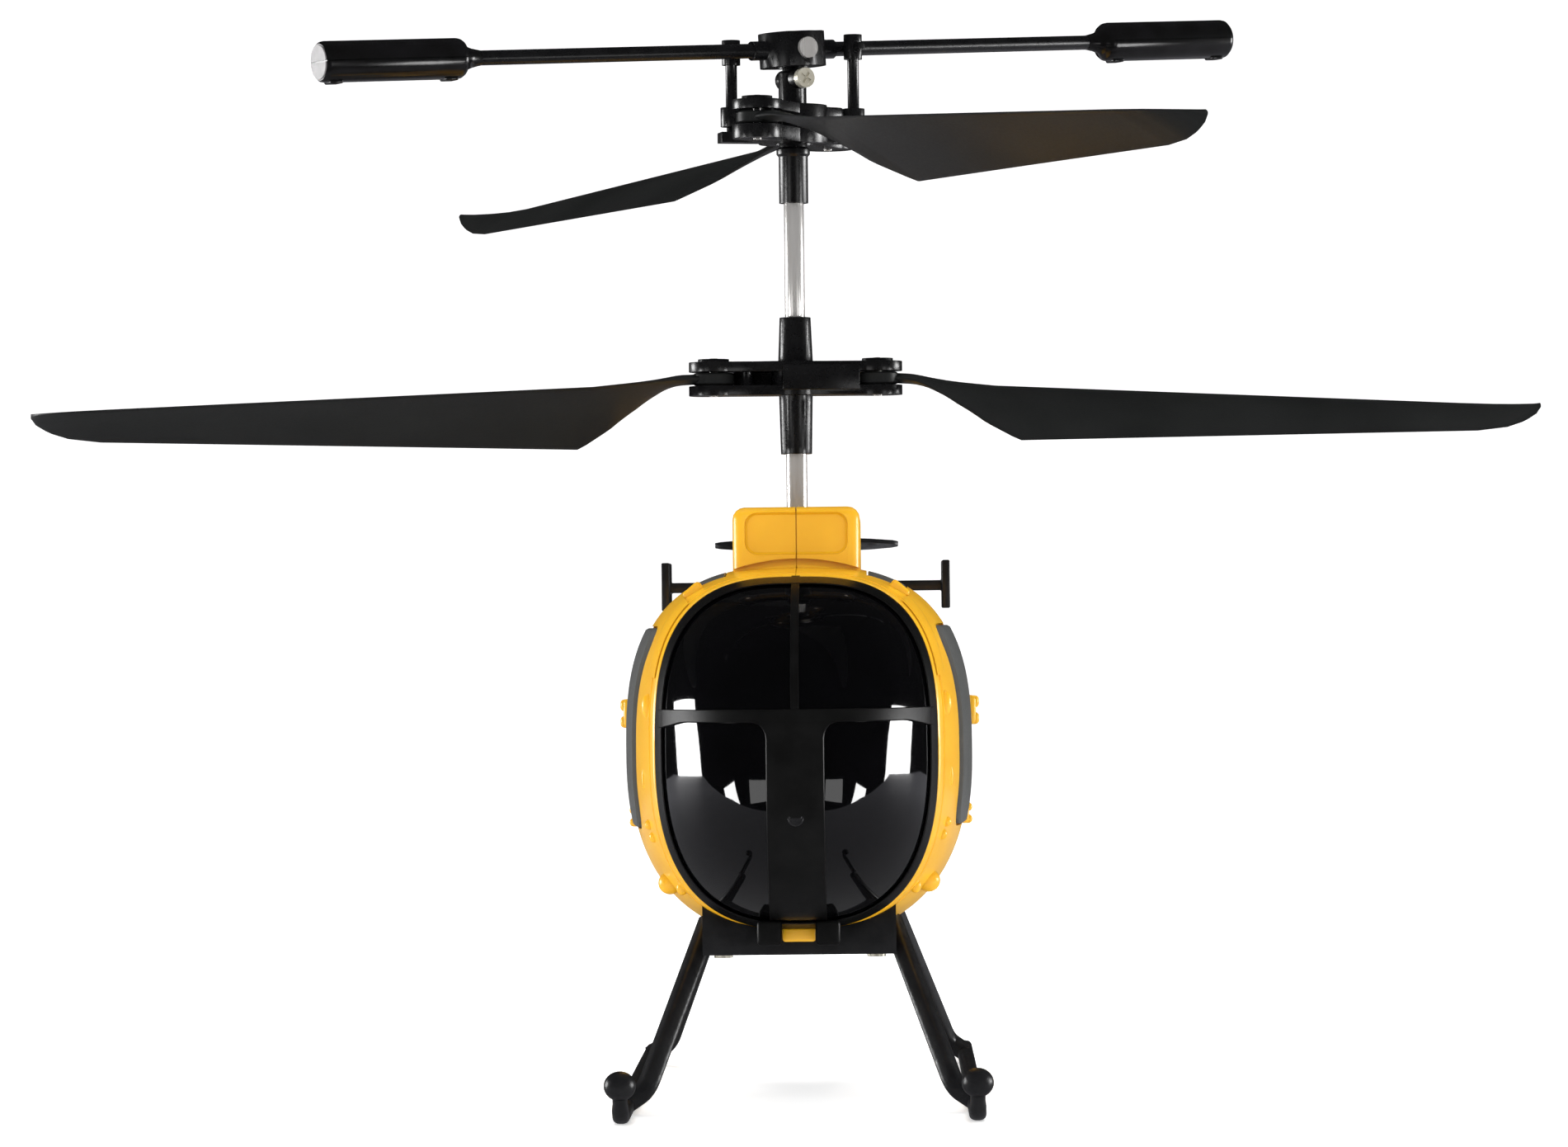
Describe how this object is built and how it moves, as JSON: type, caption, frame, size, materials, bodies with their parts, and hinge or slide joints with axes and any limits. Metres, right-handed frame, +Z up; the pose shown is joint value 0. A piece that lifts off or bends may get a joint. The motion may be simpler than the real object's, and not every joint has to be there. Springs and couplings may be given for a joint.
{
  "type": "remote control helicopter",
  "caption": "Small indoor coaxial toy helicopter with an egg-shaped orange-yellow cabin, smoked canopy, folding contra-rotating blades, a flybar and skid landing gear.",
  "frame": {"origin": "on the floor, under the middle of the whole helicopter's box; the mast stands 17.8 mm ahead of it", "axes": "+Z up along the mast, -Y towards the nose, +Y towards the tail, +X towards the right of someone who looks at the nose"},
  "size_m": [0.1888, 0.1888, 0.1369],
  "materials": {
    "cabin_shell": "satin gloss moulded plastic",
    "smoked_glazing": "polished smoked plastic",
    "canopy_frame_black": "satin",
    "grey_panel": "satin",
    "gear_black": "fine grain",
    "rotor_black": "semi-gloss moulded",
    "blade_black": "satin",
    "weight_black": "gloss",
    "shaft_steel": "polished",
    "screw_nickel": "nickel plated",
    "frame_nylon": "satin",
    "gear_white": "natural acetal",
    "bush_brass": "turned",
    "motor_can": "drawn can",
    "battery_wrap": "foil pouch",
    "circuit_board": "solder mask",
    "receiver_dark": "epoxy"
  },
  "bodies": {
    "fuselage": {"fuselage_shell_left": "cabin_shell", "fuselage_shell_right": "cabin_shell", "canopy_glazing": "smoked_glazing", "canopy_frame": "canopy_frame_black", "door_panel_left": "grey_panel", "door_panel_right": "grey_panel", "roof_panel_left": "grey_panel", "roof_panel_right": "grey_panel", "belly_keel": "gear_black", "case_screws": "screw_nickel", "skid_tube_left": "gear_black", "skid_tube_right": "gear_black", "front_leg_left": "gear_black", "front_leg_right": "gear_black", "rear_leg_left": "gear_black", "rear_leg_right": "gear_black", "gearbox_lower_frame": "frame_nylon", "gearbox_upper_frame": "frame_nylon", "lower_shaft_bush": "bush_brass", "upper_shaft_bush": "bush_brass", "front_motor": "motor_can", "rear_motor": "motor_can", "battery": "battery_wrap", "receiver_board": "circuit_board", "infrared_receiver": "receiver_dark", "charge_socket": "receiver_dark", "power_switch_case": "frame_nylon", "tail_boom": "gear_black", "tail_motor": "motor_can", "horizontal_stabiliser": "gear_black", "tail_fin": "gear_black"},
    "power_switch_slider": {"power_switch_slider": "frame_nylon"},
    "front_pinion": {"front_pinion": "bush_brass"},
    "rear_pinion": {"rear_pinion": "bush_brass"},
    "tail_rotor": {"tail_rotor": "gear_black"},
    "lower_rotor": {"outer_shaft_tube": "shaft_steel", "lower_rotor_hub": "rotor_black", "lower_blade_pins": "shaft_steel", "lower_rotor_gear": "gear_white"},
    "lower_blade_a": {"lower_blade_a": "blade_black"},
    "lower_blade_b": {"lower_blade_b": "blade_black"},
    "upper_rotor": {"inner_shaft": "shaft_steel", "shaft_collar": "shaft_steel", "spacer_tube": "shaft_steel", "upper_head_post": "rotor_black", "shaft_clamp_screw": "screw_nickel", "upper_rotor_gear": "gear_white"},
    "grip_seesaw": {"upper_grip_seesaw": "rotor_black", "upper_blade_pins": "shaft_steel"},
    "upper_blade_a": {"upper_blade_a": "blade_black"},
    "upper_blade_b": {"upper_blade_b": "blade_black"},
    "flybar": {"flybar": "rotor_black", "teeter_pin": "shaft_steel", "flybar_weight_near": "weight_black", "flybar_weight_far": "weight_black"},
    "push_link_near": {"push_link_near": "rotor_black"},
    "push_link_far": {"push_link_far": "rotor_black"}
  },
  "joints": [
    {"name": "lower_rotor_spin", "type": "hinge", "parent": "fuselage", "child": "lower_rotor", "pos_m": [0, -0.0178, 0.08], "axis": [0, 0, 1], "continuous": true},
    {"name": "upper_rotor_spin", "type": "hinge", "parent": "fuselage", "child": "upper_rotor", "pos_m": [0, -0.0178, 0.08], "axis": [0, 0, 1], "continuous": true},
    {"name": "rear_pinion_spin", "type": "hinge", "parent": "fuselage", "child": "rear_pinion", "pos_m": [0, -0.0061, 0.044], "axis": [0, 0, 1], "continuous": true},
    {"name": "front_pinion_spin", "type": "hinge", "parent": "fuselage", "child": "front_pinion", "pos_m": [0, -0.0295, 0.039], "axis": [0, 0, 1], "continuous": true},
    {"name": "tail_rotor_spin", "type": "hinge", "parent": "fuselage", "child": "tail_rotor", "pos_m": [0, 0.0792, 0.0696], "axis": [0, 0, 1], "continuous": true},
    {"name": "grip_feather", "type": "hinge", "parent": "upper_rotor", "child": "grip_seesaw", "pos_m": [0, -0.0178, 0.1212], "axis": [-0.4147, -0.91, 0], "range_deg": [-8, 8]},
    {"name": "flybar_teeter", "type": "hinge", "parent": "upper_rotor", "child": "flybar", "pos_m": [0, -0.0178, 0.1304], "axis": [0.515, -0.8572, 0], "range_deg": [-6, 6]},
    {"name": "push_link_near_swing", "type": "hinge", "parent": "flybar", "child": "push_link_near", "pos_m": [-0.0076, -0.01968, 0.12994], "axis": [0.515, -0.8572, 0], "range_deg": [-6.5, 6.5]},
    {"name": "push_link_far_swing", "type": "hinge", "parent": "flybar", "child": "push_link_far", "pos_m": [0.0076, -0.01592, 0.13086], "axis": [0.515, -0.8572, 0], "range_deg": [-6.5, 6.5]},
    {"name": "upper_blade_a_fold", "type": "hinge", "parent": "grip_seesaw", "child": "upper_blade_a", "pos_m": [-0.00427, -0.02717, 0.1212], "axis": [0, 0, -1], "range_deg": [-10, 75]},
    {"name": "upper_blade_b_fold", "type": "hinge", "parent": "grip_seesaw", "child": "upper_blade_b", "pos_m": [0.00427, -0.00843, 0.1212], "axis": [0, 0, -1], "range_deg": [-10, 75]},
    {"name": "lower_blade_a_fold", "type": "hinge", "parent": "lower_rotor", "child": "lower_blade_a", "pos_m": [-0.01024, -0.01888, 0.08925], "axis": [0, 0, 1], "range_deg": [-50, 50]},
    {"name": "lower_blade_b_fold", "type": "hinge", "parent": "lower_rotor", "child": "lower_blade_b", "pos_m": [0.01024, -0.01672, 0.08925], "axis": [0, 0, 1], "range_deg": [-50, 50]},
    {"name": "power_switch_slide", "type": "slide", "parent": "fuselage", "child": "power_switch_slider", "axis": [0, 1, 0], "range_m": [0, 0.0022]}
  ],
  "couplings": [
    {"joint": "rear_pinion_spin", "follows": "lower_rotor_spin", "ratio": -4.8},
    {"joint": "front_pinion_spin", "follows": "upper_rotor_spin", "ratio": -4.8},
    {"joint": "grip_feather", "follows": "flybar_teeter", "ratio": 1.2201},
    {"joint": "push_link_near_swing", "follows": "flybar_teeter", "ratio": -1},
    {"joint": "push_link_far_swing", "follows": "flybar_teeter", "ratio": -1}
  ]
}
